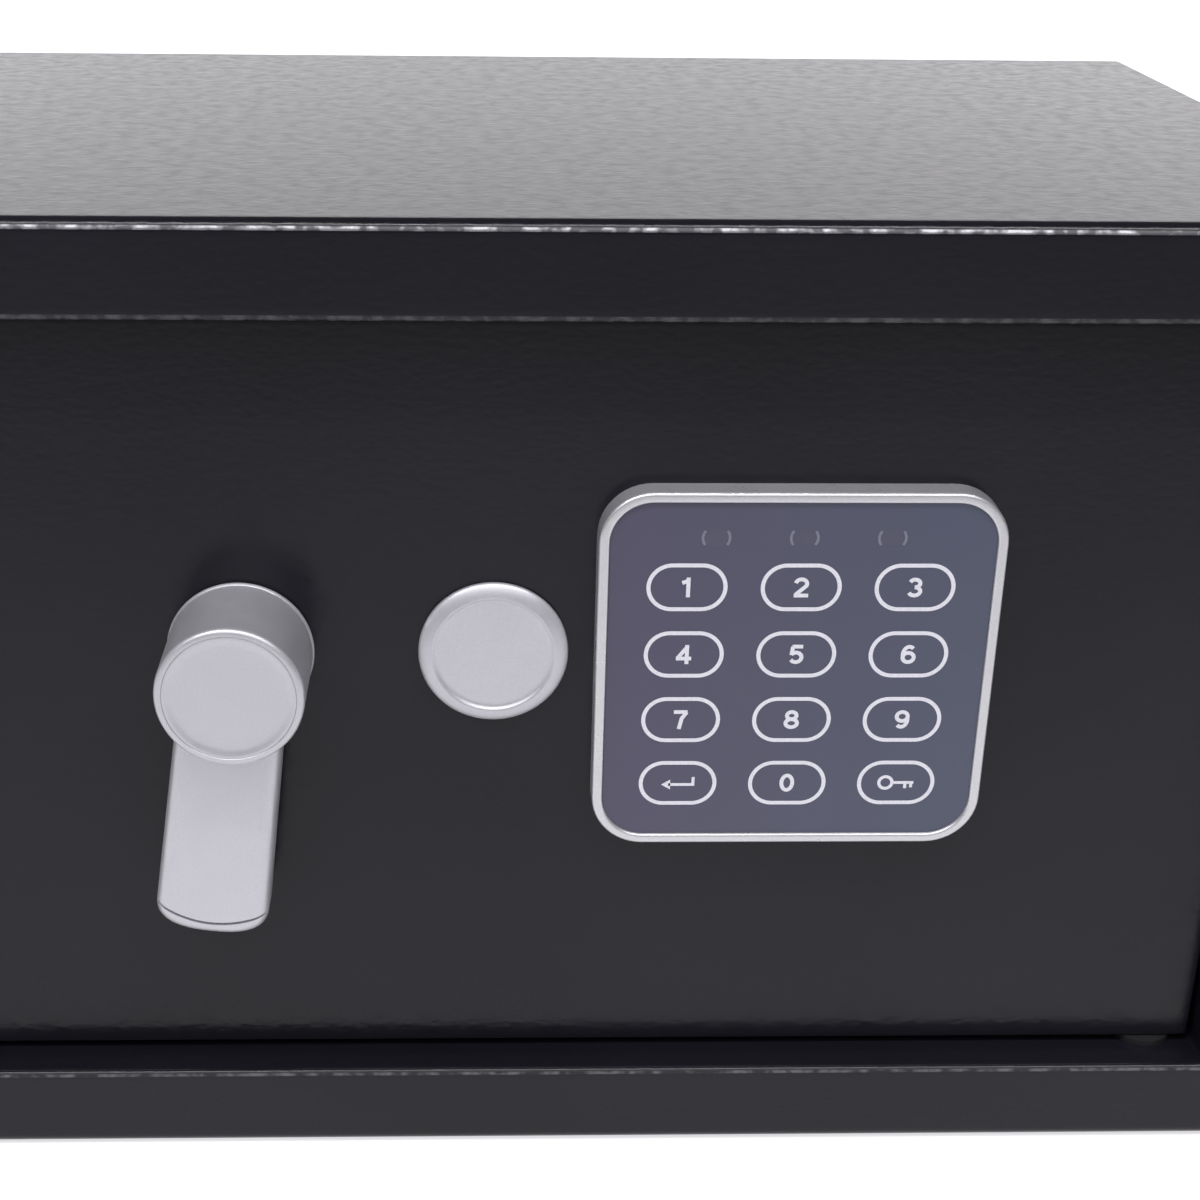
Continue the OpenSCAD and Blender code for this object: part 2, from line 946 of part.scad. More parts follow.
// A strip that widens from the axis to a bowed end
module blade_outline() {
    half = blade_w / 2;
    end_half = blade_end_w / 2;
    intersection() {
        polygon([[-half, 0], [half, 0], [end_half, -blade_len], [-end_half, -blade_len]]);
        union() {
            translate([0, blade_end_r - blade_len])
                circle(r = blade_end_r);
            translate([-blade_end_r, blade_end_r - blade_len])
                square([2 * blade_end_r, blade_len]);
        }
    }
}

module lever() {
    color(silver)
        on_lever()
            difference() {
                union() {
                    translate([0, 0, knob_gap])
                        cylinder(r1 = knob_r, r2 = knob_front_r, h = knob_h - knob_gap);
                    translate([0, 0, blade_back])
                        linear_extrude(blade_t)
                            blade_outline();
                }
                translate([0, 0, -CUT])
                    cylinder(r = spindle_r, h = spindle_out + CUT);
                translate([0, 0, spindle_out - CUT])
                    cylinder(r = lever_screw_r, h = knob_h);
                translate([0, 0, knob_h - disc_t - screw_pocket_h])
                    cylinder(r = screw_pocket_r, h = knob_h);
                translate([0, 0, knob_h - disc_t])
                    cylinder(r = disc_r + disc_fit, h = knob_h);
            }
}

module lever_disc() {
    color(silver)
        on_lever()
            translate([0, 0, knob_h - disc_t])
                cylinder(r = disc_r, h = disc_t);
}

module lever_screw() {
    color(zinc)
        on_lever() {
            translate([0, 0, spindle_out - lever_screw_in])
                cylinder(r = lever_screw_r,
                    h = knob_h - disc_t - screw_pocket_h - spindle_out + lever_screw_in);
            translate([0, 0, knob_h - disc_t - screw_pocket_h])
                cylinder(r = lever_screw_head_r, h = lever_screw_head_h);
        }
}

module spindle() {
    color(zinc)
        difference() {
            bar(lever_x, lever_z, -spindle_out, cam_to, spindle_r);
            bar(lever_x, lever_z, -spindle_out - CUT, lever_screw_in - spindle_out, lever_screw_r);
        }
}

module cam() {
    color(zinc)
        translate([lever_x, door_y, lever_z])
            rotate([90, 0, 0])
                rotate([0, 0, cam_half]) {
                    translate([0, 0, -cam_to])
                        linear_extrude(cam_to - cam_from)
                            difference() {
                                union() {
                                    circle(r = cam_hub_r);
                                    translate([-cam_end_r, -cam_r])
                                        square([2 * cam_end_r, cam_r]);
                                    translate([0, -cam_r])
                                        circle(r = cam_end_r);
                                }
                                circle(r = spindle_r);
                            }
                    translate([0, -cam_r, -cam_pin_end])
                        cylinder(r = cam_pin_r, h = cam_pin_end - cam_to);
                }
}

// ---- Bolts, which slide together ----

module bolt_carrier() {
    color(zinc)
        difference() {
            union() {
                block(bolt_root_x, carrier_right, carrier_from, carrier_to,
                    mid_z - carrier_h / 2, mid_z + carrier_h / 2);
                block(bolt_root_x, bolt_root_x + carrier_t, flange_from, flange_to,
                    mid_z - carrier_h / 2, mid_z + carrier_h / 2);
            }
            for (sz = [-1, 1]) {
                cross_bar(bolt_root_x - CUT, bolt_root_x + carrier_t + CUT, bolt_depth,
                    mid_z + sz * bolt_pitch / 2, bolt_screw_r);
                slab(bolt_root_x + carrier_t + window_w / 2, mid_z + sz * bolt_pitch / 2,
                    carrier_from - CUT, carrier_to + CUT)
                    square([window_w, window_h], center = true);
                slab(stud_x + bolt_throw / 2, mid_z + sz * stud_dz, carrier_from - CUT, carrier_to + CUT)
                    stadium(bolt_throw + 2 * (stud_r + stud_slot_spare), 2 * (stud_r + stud_slot_slack));
            }
            slab(cam_pin_x, (cam_pin_top + cam_pin_low) / 2, carrier_from - CUT, carrier_to + CUT)
                rotate(90)
                    stadium(cam_pin_top - cam_pin_low + 2 * (cam_pin_r + cam_slot_spare),
                        2 * (cam_pin_r + cam_slack));
            for (x = [0, bolt_throw])
                block(solenoid_x + x - notch_w / 2, solenoid_x + x + notch_w / 2,
                    carrier_from - CUT, carrier_to + CUT,
                    mid_z - carrier_h / 2 - CUT, mid_z - carrier_h / 2 + notch_h);
        }
}

module locking_bolts() {
    color(zinc)
        for (sz = [-1, 1])
            difference() {
                union() {
                    cross_bar(bolt_tip_x + bolt_bevel, bolt_root_x, bolt_depth,
                        mid_z + sz * bolt_pitch / 2, bolt_r);
                    translate([bolt_tip_x, door_y + bolt_depth, mid_z + sz * bolt_pitch / 2])
                        rotate([0, 90, 0])
                            cylinder(r1 = bolt_r - bolt_bevel, r2 = bolt_r, h = bolt_bevel);
                }
                cross_bar(bolt_root_x - bolt_screw_in, bolt_root_x + CUT, bolt_depth,
                    mid_z + sz * bolt_pitch / 2, bolt_screw_r);
            }
}

module bolt_screws() {
    color(zinc)
        for (sz = [-1, 1]) {
            cross_bar(bolt_root_x - bolt_screw_in, bolt_root_x + carrier_t, bolt_depth,
                mid_z + sz * bolt_pitch / 2, bolt_screw_r);
            cross_bar(bolt_root_x + carrier_t, bolt_root_x + carrier_t + bolt_head_h, bolt_depth,
                mid_z + sz * bolt_pitch / 2, bolt_head_r);
        }
}

body_shell();
back_panel();
front_frame();
door_stops();
floor_mat();
hinge_washers();
door_plate();
hinge_blocks();
hinge_pins();
inner_cover();
cover_posts();
cover_screws();
keypad_bezel();
keypad_panel();
keypad_board();
key_domes();
status_leds();
keypad_screws();
key_1();
key_2();
key_3();
key_4();
key_5();
key_6();
key_7();
key_8();
key_9();
key_enter();
key_0();
key_program();
ribbon_cable();
control_board();
board_standoffs();
wiring();
spindle_bush();
guide_bracket();
guide_studs();
solenoid_frame();
solenoid_coil();
plunger_spring();
solenoid_plunger();
lock_cylinder();
lock_nut();
lock_plug();
lock_tail();
key_cover();
battery_box();
battery_contacts();
batteries();
battery_cover();
reset_switch();
reset_button();
lever();
lever_disc();
lever_screw();
spindle();
cam();
bolt_carrier();
locking_bolts();
bolt_screws();
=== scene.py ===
"""In-room safe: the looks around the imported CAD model. Shapes are written in millimetres."""
import json
import math

import bmesh
import bpy
from mathutils import Matrix, Vector


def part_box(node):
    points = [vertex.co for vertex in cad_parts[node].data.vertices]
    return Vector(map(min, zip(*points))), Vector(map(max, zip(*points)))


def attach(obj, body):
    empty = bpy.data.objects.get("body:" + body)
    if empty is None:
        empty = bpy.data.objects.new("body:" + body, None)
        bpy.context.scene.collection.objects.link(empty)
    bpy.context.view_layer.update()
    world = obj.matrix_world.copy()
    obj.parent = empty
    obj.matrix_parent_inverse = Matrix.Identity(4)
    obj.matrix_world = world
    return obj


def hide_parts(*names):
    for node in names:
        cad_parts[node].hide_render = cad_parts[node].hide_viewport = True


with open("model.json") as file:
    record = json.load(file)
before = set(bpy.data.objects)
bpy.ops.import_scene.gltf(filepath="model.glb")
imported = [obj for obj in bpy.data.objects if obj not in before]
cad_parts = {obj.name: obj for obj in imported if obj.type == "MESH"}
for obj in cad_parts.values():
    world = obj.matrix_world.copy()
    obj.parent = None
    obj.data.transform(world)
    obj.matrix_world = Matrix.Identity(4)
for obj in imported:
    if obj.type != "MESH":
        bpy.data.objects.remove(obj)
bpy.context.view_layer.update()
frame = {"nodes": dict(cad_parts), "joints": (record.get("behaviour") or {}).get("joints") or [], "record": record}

MM = 0.001
SMOOTH_ANGLE = math.radians(32)


# ---- Camera ----

CAMERA_AT = (-0.0216, -0.4472, 0.2766)
CAMERA_TURN = math.radians(1.73)
CAMERA_DOWN = math.radians(24.26)
CAMERA_ROLL = math.radians(-0.70)
CAMERA_LENS = 59.5
CAMERA_SHIFT = (0.062, 0.030)


def make_camera():
    """The photograph's viewpoint: just above the top, a little left of the middle."""
    ahead = Vector((math.sin(CAMERA_TURN) * math.cos(CAMERA_DOWN),
                    math.cos(CAMERA_TURN) * math.cos(CAMERA_DOWN),
                    -math.sin(CAMERA_DOWN)))
    level = Vector((math.cos(CAMERA_TURN), -math.sin(CAMERA_TURN), 0))
    down = ahead.cross(level)
    right = level * math.cos(CAMERA_ROLL) + down * math.sin(CAMERA_ROLL)
    up = level * math.sin(CAMERA_ROLL) - down * math.cos(CAMERA_ROLL)
    turn = Matrix((right, up, -ahead)).transposed()
    data = bpy.data.cameras.new("camera")
    data.sensor_width = 36
    data.lens = CAMERA_LENS
    data.shift_x, data.shift_y = CAMERA_SHIFT
    data.clip_start = 0.01
    camera = bpy.data.objects.new("camera", data)
    camera.matrix_world = Matrix.Translation(CAMERA_AT) @ turn.to_4x4()
    bpy.context.scene.collection.objects.link(camera)
    bpy.context.scene.camera = camera


make_camera()


# ---- Places, from the frame ----

class Span:
    """The box of a CAD node, in millimetres."""

    def __init__(self, node):
        low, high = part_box(node)
        self.low = low / MM
        self.high = high / MM
        self.mid = (self.low + self.high) / 2
        self.size = self.high - self.low


def joint_place(name):
    """A hinge's point, in millimetres."""
    joint = next(j for j in frame["joints"] if j["name"] == name)
    return Vector(joint["pos_m"]) / MM


KEYS = ["key_1", "key_2", "key_3", "key_4", "key_5", "key_6", "key_7", "key_8", "key_9",
        "key_enter", "key_0", "key_program"]

shell = Span("body_shell")
front = Span("front_frame")
door = Span("door_plate")
cover = Span("inner_cover")
mat = Span("floor_mat")
bezel = Span("keypad_bezel")
panel = Span("keypad_panel")
cap = Span("key_cover")
knob_at = joint_place("lever_turn")
hinge_at = joint_place("door_swing")
DOOR_GAP = 1.5
LIP = (shell.size.x - door.size.x) / 2 - DOOR_GAP  # how wide the front's frame is


# ---- Node materials ----

class Finish:
    """A material with a Principled shader, built one node at a time."""

    def __init__(self, name, **values):
        self.material = bpy.data.materials.new(name)
        self.material.use_nodes = True
        self.tree = self.material.node_tree
        self.shader = self.tree.nodes["Principled BSDF"]
        self.place = self.add("ShaderNodeTexCoord").outputs["Object"]
        for key, value in values.items():
            self.shader.inputs[key.replace("_", " ")].default_value = value

    def add(self, kind, inputs=None, **settings):
        node = self.tree.nodes.new(kind)
        for key, value in settings.items():
            setattr(node, key, value)
        for key, value in (inputs or {}).items():
            self.feed(node.inputs[key], value)
        return node

    def feed(self, socket, value):
        if isinstance(value, bpy.types.NodeSocket):
            self.tree.links.new(value, socket)
        else:
            socket.default_value = value

    def stretched(self, scale):
        """Object coordinates scaled along each axis."""
        node = self.add("ShaderNodeMapping", {"Vector": self.place, "Scale": scale})
        return node.outputs["Vector"]

    def noise(self, scale, detail=3.0, rough=0.5, vector=None):
        node = self.add("ShaderNodeTexNoise", {"Vector": vector or self.place, "Scale": scale,
                                               "Detail": detail, "Roughness": rough})
        return node.outputs["Fac"]

    def cells(self, scale, vector=None):
        node = self.add("ShaderNodeTexVoronoi", {"Vector": vector or self.place, "Scale": scale},
                        feature="SMOOTH_F1")
        return node.outputs["Distance"]

    def ramp(self, value, low, high, out_low, out_high):
        """Maps value from low..high to out_low..out_high, and holds it there."""
        node = self.add("ShaderNodeMapRange", {"Value": value, "From Min": low, "From Max": high,
                                               "To Min": out_low, "To Max": out_high})
        return node.outputs["Result"]

    def band(self, value, low_mm, high_mm):
        """1 between two heights or depths, falling to 0 within 0.2 mm outside them."""
        up = self.ramp(value, (low_mm - 0.2) * MM, low_mm * MM, 0, 1)
        return self.times(up, self.ramp(value, high_mm * MM, (high_mm + 0.2) * MM, 1, 0))

    def tint(self, value, dark, light):
        node = self.add("ShaderNodeMix", {"Factor": value}, data_type="RGBA")
        for socket, shade_of in ((node.inputs[6], dark), (node.inputs[7], light)):
            plain = not isinstance(shade_of, bpy.types.NodeSocket)
            self.feed(socket, (*shade_of, 1) if plain else shade_of)
        return node.outputs[2]

    def sum(self, a, b, share):
        """a plus share of b."""
        node = self.add("ShaderNodeMath", {0: b, 1: share, 2: a}, operation="MULTIPLY_ADD")
        return node.outputs[0]

    def times(self, a, b):
        return self.add("ShaderNodeMath", {0: a, 1: b}, operation="MULTIPLY").outputs[0]

    def color(self, value):
        self.feed(self.shader.inputs["Base Color"], value)

    def rough(self, value):
        self.feed(self.shader.inputs["Roughness"], value)

    def bump(self, height, depth_mm, strength=1.0):
        node = self.add("ShaderNodeBump", {"Height": height, "Distance": depth_mm * MM,
                                           "Strength": strength})
        self.tree.links.new(node.outputs["Normal"], self.shader.inputs["Normal"])


def powder_coat():
    """Black powder coat with a fine leather grain, and a painted highlight: near-white metallic streaks in places
    along the front's long folds, where light would glint.
    """
    f = Finish("powder_coat", Specular_IOR_Level=0.3)
    grain_at = f.stretched((0.7, 1.0, 1.2))
    grain = f.sum(f.cells(680, grain_at), f.noise(1200, 2.0, 0.5, grain_at), 0.5)
    f.bump(f.sum(grain, f.noise(170, 2.0), 0.1), 0.06, 0.6)
    patches = f.ramp(f.noise(14, 3.0), 0.3, 0.7, 0, 1)
    split = f.add("ShaderNodeSeparateXYZ", {"Vector": f.place}).outputs
    # Painted highlight: thin bands along the top front fold and the frame's inner folds, broken up by noise, are
    # painted near-white and metallic where the light would catch them.
    folds = f.sum(f.band(split["Z"], shell.high.z - 1.8, shell.high.z - 1.3),
                  f.band(split["Z"], LIP - 1.0, LIP - 0.7), 0.28)
    folds = f.sum(folds, f.band(split["Z"], shell.high.z - LIP + 0.3, shell.high.z - LIP + 1.2), 0.12)
    painted_highlight = f.times(f.times(folds, f.band(split["Y"], front.low.y - 1, front.low.y + 0.9)),
                   f.ramp(f.noise(380, 3.0), 0.44, 0.62, 0.14, 0.75))
    coat = f.tint(patches, (0.0070, 0.0066, 0.0102), (0.0100, 0.0095, 0.0142))
    f.color(f.tint(painted_highlight, coat, (0.75, 0.75, 0.78)))
    f.feed(f.shader.inputs["Metallic"], painted_highlight)
    f.rough(f.ramp(f.noise(260, 2.0), 0.3, 0.7, 0.15, 0.25))
    return f.material


def silver_paint():
    """Satin silver paint on a die casting."""
    f = Finish("silver_paint", Metallic=0.6, Specular_IOR_Level=0.5)
    flake = f.noise(2600, 2.0, 0.6)
    f.color(f.tint(f.ramp(flake, 0.35, 0.65, 0, 1), (0.60, 0.60, 0.638), (0.64, 0.64, 0.675)))
    f.rough(f.ramp(f.noise(220, 3.0), 0.3, 0.7, 0.36, 0.44))
    f.bump(f.noise(1500, 2.0), 0.012)
    return f.material


def bezel_silver():
    """Satin plated plastic."""
    f = Finish("bezel_silver", Metallic=0.65)
    flake = f.noise(1800, 2.0, 0.6)
    f.color(f.tint(f.ramp(flake, 0.35, 0.65, 0, 1), (0.66, 0.66, 0.685), (0.70, 0.70, 0.725)))
    f.rough(f.ramp(f.noise(150, 3.0), 0.3, 0.7, 0.26, 0.34))
    f.bump(f.noise(900, 2.0), 0.004)
    return f.material


def keypad_grey():
    """Violet-grey printed membrane under a clear face."""
    f = Finish("keypad_grey", Coat_Weight=0.35, Coat_Roughness=0.14)
    across = f.add("ShaderNodeSeparateXYZ", {"Vector": f.place}).outputs["X"]
    sweep = f.ramp(across, panel.low.x * MM, panel.high.x * MM, 0, 0.9)
    shift = f.sum(sweep, f.noise(2200, 2.0, 0.6), 0.2)
    f.color(f.tint(shift, (0.066, 0.058, 0.106), (0.063, 0.075, 0.122)))
    f.rough(f.ramp(f.noise(70, 3.0), 0.3, 0.7, 0.34, 0.42))
    f.bump(f.noise(1400, 2.0), 0.006)
    return f.material


def lens_grey():
    """The clear windows over the lamps, close to the membrane's own shade but glossier."""
    f = Finish("lens_grey", Coat_Weight=0.5, Coat_Roughness=0.08)
    f.color(f.tint(f.noise(900, 2.0), (0.062, 0.063, 0.106), (0.066, 0.067, 0.112)))
    f.rough(f.ramp(f.noise(300, 2.0), 0.3, 0.7, 0.30, 0.36))
    f.bump(f.noise(500, 2.0), 0.001)
    return f.material


def print_ink(name, dark, light):
    """Screen-printed ink, slightly uneven."""
    f = Finish(name)
    f.color(f.tint(f.ramp(f.noise(1700, 3.0), 0.3, 0.7, 0, 1), dark, light))
    f.rough(f.ramp(f.noise(600, 2.0), 0.3, 0.7, 0.42, 0.55))
    f.bump(f.noise(2400, 2.0), 0.004)
    return f.material


def zinc_plate():
    """Bright zinc plating, drawn in one direction and a little cloudy."""
    f = Finish("zinc_plate", Metallic=1.0)
    cloud = f.noise(60, 4.0)
    f.color(f.tint(f.ramp(cloud, 0.3, 0.7, 0, 1), (0.50, 0.51, 0.53), (0.66, 0.67, 0.69)))
    lines = f.noise(500, 3.0, 0.6, f.stretched((0.15, 1.0, 1.0)))
    f.rough(f.ramp(lines, 0.3, 0.7, 0.28, 0.44))
    f.bump(lines, 0.015)
    return f.material


def bright_steel():
    """Turned and nickel-plated bolts, with fine rings round the X axis."""
    f = Finish("bright_steel", Metallic=1.0)
    rings = f.noise(900, 2.0, 0.5, f.stretched((1.0, 0.02, 0.02)))
    f.color(f.tint(f.noise(40, 3.0), (0.70, 0.70, 0.71), (0.80, 0.80, 0.81)))
    f.rough(f.ramp(rings, 0.3, 0.7, 0.12, 0.24))
    f.bump(rings, 0.008)
    return f.material


def brass_metal():
    f = Finish("brass_metal", Metallic=1.0)
    f.color(f.tint(f.noise(90, 3.0), (0.60, 0.43, 0.16), (0.74, 0.56, 0.25)))
    f.rough(f.ramp(f.noise(400, 3.0), 0.3, 0.7, 0.24, 0.40))
    f.bump(f.noise(900, 2.0), 0.01)
    return f.material


def moulded(name, dark, light, rough, grain=1300, depth=0.03):
    """Moulded plastic with a spark-eroded grain."""
    f = Finish(name)
    f.color(f.tint(f.ramp(f.noise(120, 3.0), 0.3, 0.7, 0, 1), dark, light))
    f.rough(f.ramp(f.noise(grain * 0.4, 2.0), 0.3, 0.7, rough - 0.05, rough + 0.05))
    f.bump(f.noise(grain, 2.0), depth)
    return f.material


def felt():
    """Needled felt: short tangled fibres in two tones."""
    f = Finish("felt", Sheen_Weight=0.25)
    fibres = f.sum(f.noise(900, 4.0, 0.7, f.stretched((1.0, 0.35, 1.0))),
                   f.noise(900, 4.0, 0.7, f.stretched((0.35, 1.0, 1.0))), 1.0)
    f.color(f.tint(f.ramp(fibres, 0.75, 1.25, 0, 1), (0.018, 0.018, 0.020), (0.060, 0.060, 0.065)))
    f.rough(f.ramp(f.noise(60, 2.0), 0.3, 0.7, 0.88, 0.98))
    f.bump(fibres, 0.5)
    return f.material


def circuit_board():
    f = Finish("circuit_board", Coat_Weight=0.3)
    tracks = f.ramp(f.cells(260), 0.42, 0.5, 0, 1)
    f.color(f.tint(tracks, (0.012, 0.090, 0.035), (0.030, 0.150, 0.060)))
    f.rough(f.ramp(f.noise(200, 2.0), 0.3, 0.7, 0.3, 0.4))
    f.bump(tracks, 0.02)
    return f.material


def cell_jacket():
    """Shrink-wrapped cells: dark jackets with a copper band near the top, and no marks."""
    f = Finish("cell_jacket", Coat_Weight=0.4)
    height = f.add("ShaderNodeSeparateXYZ", {"Vector": f.place}).outputs["Z"]
    cells = Span("batteries")
    band = f.ramp(height, (cells.high.z - 13) * MM, (cells.high.z - 12.8) * MM, 0, 1)
    f.color(f.tint(band, (0.018, 0.020, 0.026), (0.48, 0.24, 0.10)))
    f.rough(f.ramp(f.noise(300, 2.0), 0.3, 0.7, 0.28, 0.38))
    f.bump(f.noise(140, 2.0), 0.02)
    return f.material


COAT = powder_coat()
SILVER = silver_paint()
BEZEL = bezel_silver()
GREY = keypad_grey()
LENS = lens_grey()
INK = print_ink("ink_white", (0.72, 0.72, 0.79), (0.82, 0.82, 0.88))
FAINT_INK = print_ink("ink_faint", (0.175, 0.180, 0.230), (0.215, 0.220, 0.275))
SLOT_MATERIALS = {
    "black_coat": COAT,
    "mat_felt": felt(),
    "zinc_steel": zinc_plate(),
    "bright_steel": bright_steel(),
    "silver_paint": SILVER,
    "bezel_silver": BEZEL,
    "keypad_grey": GREY,
    "circuit_board": circuit_board(),
    "brass": brass_metal(),
    "coil_tape": moulded("coil_tape", (0.36, 0.15, 0.04), (0.46, 0.21, 0.07), 0.35, 300, 0.05),
    "black_plastic": moulded("black_plastic", (0.014, 0.014, 0.016), (0.022, 0.022, 0.024), 0.48),
    "led_green": moulded("led_green", (0.05, 0.30, 0.08), (0.08, 0.40, 0.12), 0.18, 400, 0.01),
    "ribbon_grey": moulded("ribbon_grey", (0.34, 0.34, 0.36), (0.44, 0.44, 0.46), 0.45, 700, 0.02),
    "wire_red": moulded("wire_red", (0.42, 0.02, 0.015), (0.52, 0.04, 0.03), 0.38, 700, 0.02),
    "cell_jacket": cell_jacket(),
    "reset_red": moulded("reset_red", (0.50, 0.012, 0.012), (0.60, 0.020, 0.018), 0.30, 500, 0.01),
}


def dress_cad_nodes():
    """Every CAD node takes the material of its slot."""
    for part in frame["record"]["subparts"]:
        data = frame["nodes"][part["node"]].data
        data.materials.clear()
        data.materials.append(SLOT_MATERIALS[part["material_slot"]])


dress_cad_nodes()


# ---- Mesh helpers ----

def shade(mesh):
    """Smooth shading, with the edges that really are sharp kept sharp."""
    work = bmesh.new()
    work.from_mesh(mesh)
    for face in work.faces:
        face.smooth = True
    for edge in work.edges:
        edge.smooth = len(edge.link_faces) == 2 and edge.calc_face_angle(math.pi) < SMOOTH_ANGLE
    work.to_mesh(mesh)
    work.free()


def build(name, points, faces):
    """A closed mesh object from points in millimetres, with its faces turned outwards."""
    mesh = bpy.data.meshes.new(name)
    mesh.from_pydata([Vector(p) * MM for p in points], [], faces)
    work = bmesh.new()
    work.from_mesh(mesh)
    bmesh.ops.remove_doubles(work, verts=work.verts, dist=1e-7)
    bmesh.ops.dissolve_degenerate(work, edges=work.edges, dist=1e-7)
    bmesh.ops.recalc_face_normals(work, faces=work.faces)
    work.to_mesh(mesh)
    work.free()
    made = bpy.data.objects.new(name, mesh)
    bpy.context.scene.collection.objects.link(made)
    return made


def loft(name, loops, ring=False):
    """Joins loops of equal length. A ring closes on its first loop; otherwise both ends are capped."""
    count = len(loops[0])
    points = [p for loop in loops for p in loop]
    faces = []
    for i in range(len(loops) if ring else len(loops) - 1):
        a, b = i * count, (i + 1) % len(loops) * count
        for j in range(count):
            k = (j + 1) % count
            faces.append((a + j, a + k, b + k, b + j))
    if not ring:
        faces.append(tuple(range(count)))
        faces.append(tuple(range((len(loops) - 1) * count, len(loops) * count)))
    return build(name, points, faces)


def boolean(target, tools, operation="DIFFERENCE"):
    """Cuts or joins the tools into the target, and takes the tools away."""
    for tool in tools:
        modifier = target.modifiers.new("boolean", "BOOLEAN")
        modifier.operation = operation
        modifier.solver = "EXACT"
        modifier.object = tool
    bpy.context.view_layer.update()
    done = bpy.data.meshes.new_from_object(target.evaluated_get(bpy.context.evaluated_depsgraph_get()))
    target.modifiers.clear()
    target.data = done
    for tool in tools:
        bpy.data.objects.remove(tool)
    return target


def finish(piece, body, slot, material, *nodes):
    """Shades a piece, gives it its material, ties it to its body, and hides the CAD nodes it stands in for."""
    shade(piece.data)
    piece.data.materials.clear()
    piece.data.materials.append(material)
    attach(piece, body)
    if nodes:
        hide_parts(*nodes)
    return piece


def round_outline(width, height, radius, steps=8):
    """A rectangle with round corners, as (x, z) pairs about its middle, anticlockwise."""
    radius = max(radius, 0.05)
    outline = []
    for corner, (sx, sz) in enumerate([(1, 1), (-1, 1), (-1, -1), (1, -1)]):
        for step in range(steps + 1):
            angle = math.pi / 2 * (corner + step / steps)
            outline.append((sx * (width / 2 - radius) + radius * math.cos(angle),
                            sz * (height / 2 - radius) + radius * math.sin(angle)))
    return outline


def upright(outline, centre, y):
    """An (x, z) outline stood up in the plane y, about centre."""
    return [(centre.x + x, y, centre.z + z) for x, z in outline]


def quarter(steps=6):
    """(sine, cosine) pairs from 0 to 90 degrees."""
    angles = [math.pi / 2 * i / steps for i in range(steps + 1)]
    return [(math.sin(a), math.cos(a)) for a in angles]


def lathe(name, centre, profile, steps=96):
    """Turns (radius, out) pairs about the -Y axis through centre. out is measured towards the front."""
    points, faces = [], []
    for radius, out in profile:
        for i in range(steps):
            angle = 2 * math.pi * i / steps
            points.append((centre.x + radius * math.cos(angle), centre.y - out,
                           centre.z + radius * math.sin(angle)))
    rows = len(profile)
    for i in range(rows - 1):
        for j in range(steps):
            k = (j + 1) % steps
            faces.append((i * steps + j, i * steps + k, (i + 1) * steps + k, (i + 1) * steps + j))
    faces.append(tuple(range(steps)))
    faces.append(tuple(range((rows - 1) * steps, rows * steps)))
    return build(name, points, faces)


def rod(start, end, radius, steps=48):
    """A plain round cutter between two points."""
    start, end = Vector(start), Vector(end)
    axis = (end - start).normalized()
    side = axis.orthogonal().normalized()
    other = axis.cross(side)
    angles = [2 * math.pi * i / steps for i in range(steps)]
    around = [radius * (side * math.cos(a) + other * math.sin(a)) for a in angles]
    loops = [[at + offset for offset in around] for at in (start, end)]
    return loft("cutter", loops)


# ---- Cabinet ----

SHEET = 2.0
FRONT_FOLD = 2.4
OPENING_FOLD = 1.5
OPENING_CORNER = 1.2
RIM_ROUND = 0.5
CORNER = 3.0
FIXING_R = 5.0
FIXING_X = 90.0
MAT_HOLE_R = 9.0
MAT_CORNER = 4.0
PIN_BORE_R = 3.05
PIN_FROM = 12.0
PIN_TO = 25.0


def make_cabinet_skin():
    """The folded sheet: rear rim, sides, front fold, frame face, inner fold and return, back inside."""
    mid = Vector((0, 0, shell.mid.z))
    width, height = shell.size.x, shell.size.z
    return_y = front.high.y
    stations = []

    def station(inset, y, radius):
        stations.append(upright(round_outline(width - 2 * inset, height - 2 * inset, radius), mid, y))

    station(RIM_ROUND, shell.high.y, CORNER - RIM_ROUND)
    station(0, shell.high.y - RIM_ROUND, CORNER)
    station(0, shell.high.y - 2, CORNER)
    station(0, front.low.y + FRONT_FOLD + 1.0, CORNER)
    for sine, cosine in quarter(8):
        station(FRONT_FOLD * (1 - cosine), front.low.y + FRONT_FOLD * (1 - sine),
                max(CORNER - FRONT_FOLD * (1 - cosine), 0.6))
    station(FRONT_FOLD + 1.0, front.low.y, 0.6)
    station(LIP - OPENING_FOLD - 1.0, front.low.y, OPENING_CORNER)
    for sine, cosine in quarter(8):
        station(LIP - OPENING_FOLD * (1 - sine), front.low.y + OPENING_FOLD * (1 - cosine), OPENING_CORNER)
    station(LIP, front.low.y + OPENING_FOLD + 1.0, OPENING_CORNER)
    station(LIP, return_y - RIM_ROUND, OPENING_CORNER)
    station(LIP - RIM_ROUND, return_y, OPENING_CORNER + RIM_ROUND)
    station(LIP - SHEET + RIM_ROUND, return_y, OPENING_CORNER + SHEET - RIM_ROUND)
    station(LIP - SHEET, return_y - RIM_ROUND, OPENING_CORNER + SHEET)
    station(LIP - SHEET, front.low.y + SHEET, OPENING_CORNER + SHEET)
    station(SHEET, front.low.y + SHEET, CORNER - SHEET)
    station(SHEET, shell.high.y - RIM_ROUND, CORNER - SHEET)
    station(SHEET - 0.3, shell.high.y, CORNER - SHEET + 0.3)
    skin = loft("cabinet_skin", stations, ring=True)
    holes = [rod((x, 0, -1), (x, 0, SHEET + 1), FIXING_R) for x in (-FIXING_X, FIXING_X)]
    for z0, z1 in ((front.low.z + PIN_FROM, front.low.z + PIN_TO),
                   (front.high.z - PIN_TO, front.high.z - PIN_FROM)):
        holes.append(rod((hinge_at.x, hinge_at.y, z0), (hinge_at.x, hinge_at.y, z1), PIN_BORE_R))
    boolean(skin, holes)
    finish(skin, "cabinet", "black_coat", COAT, "body_shell", "front_frame")


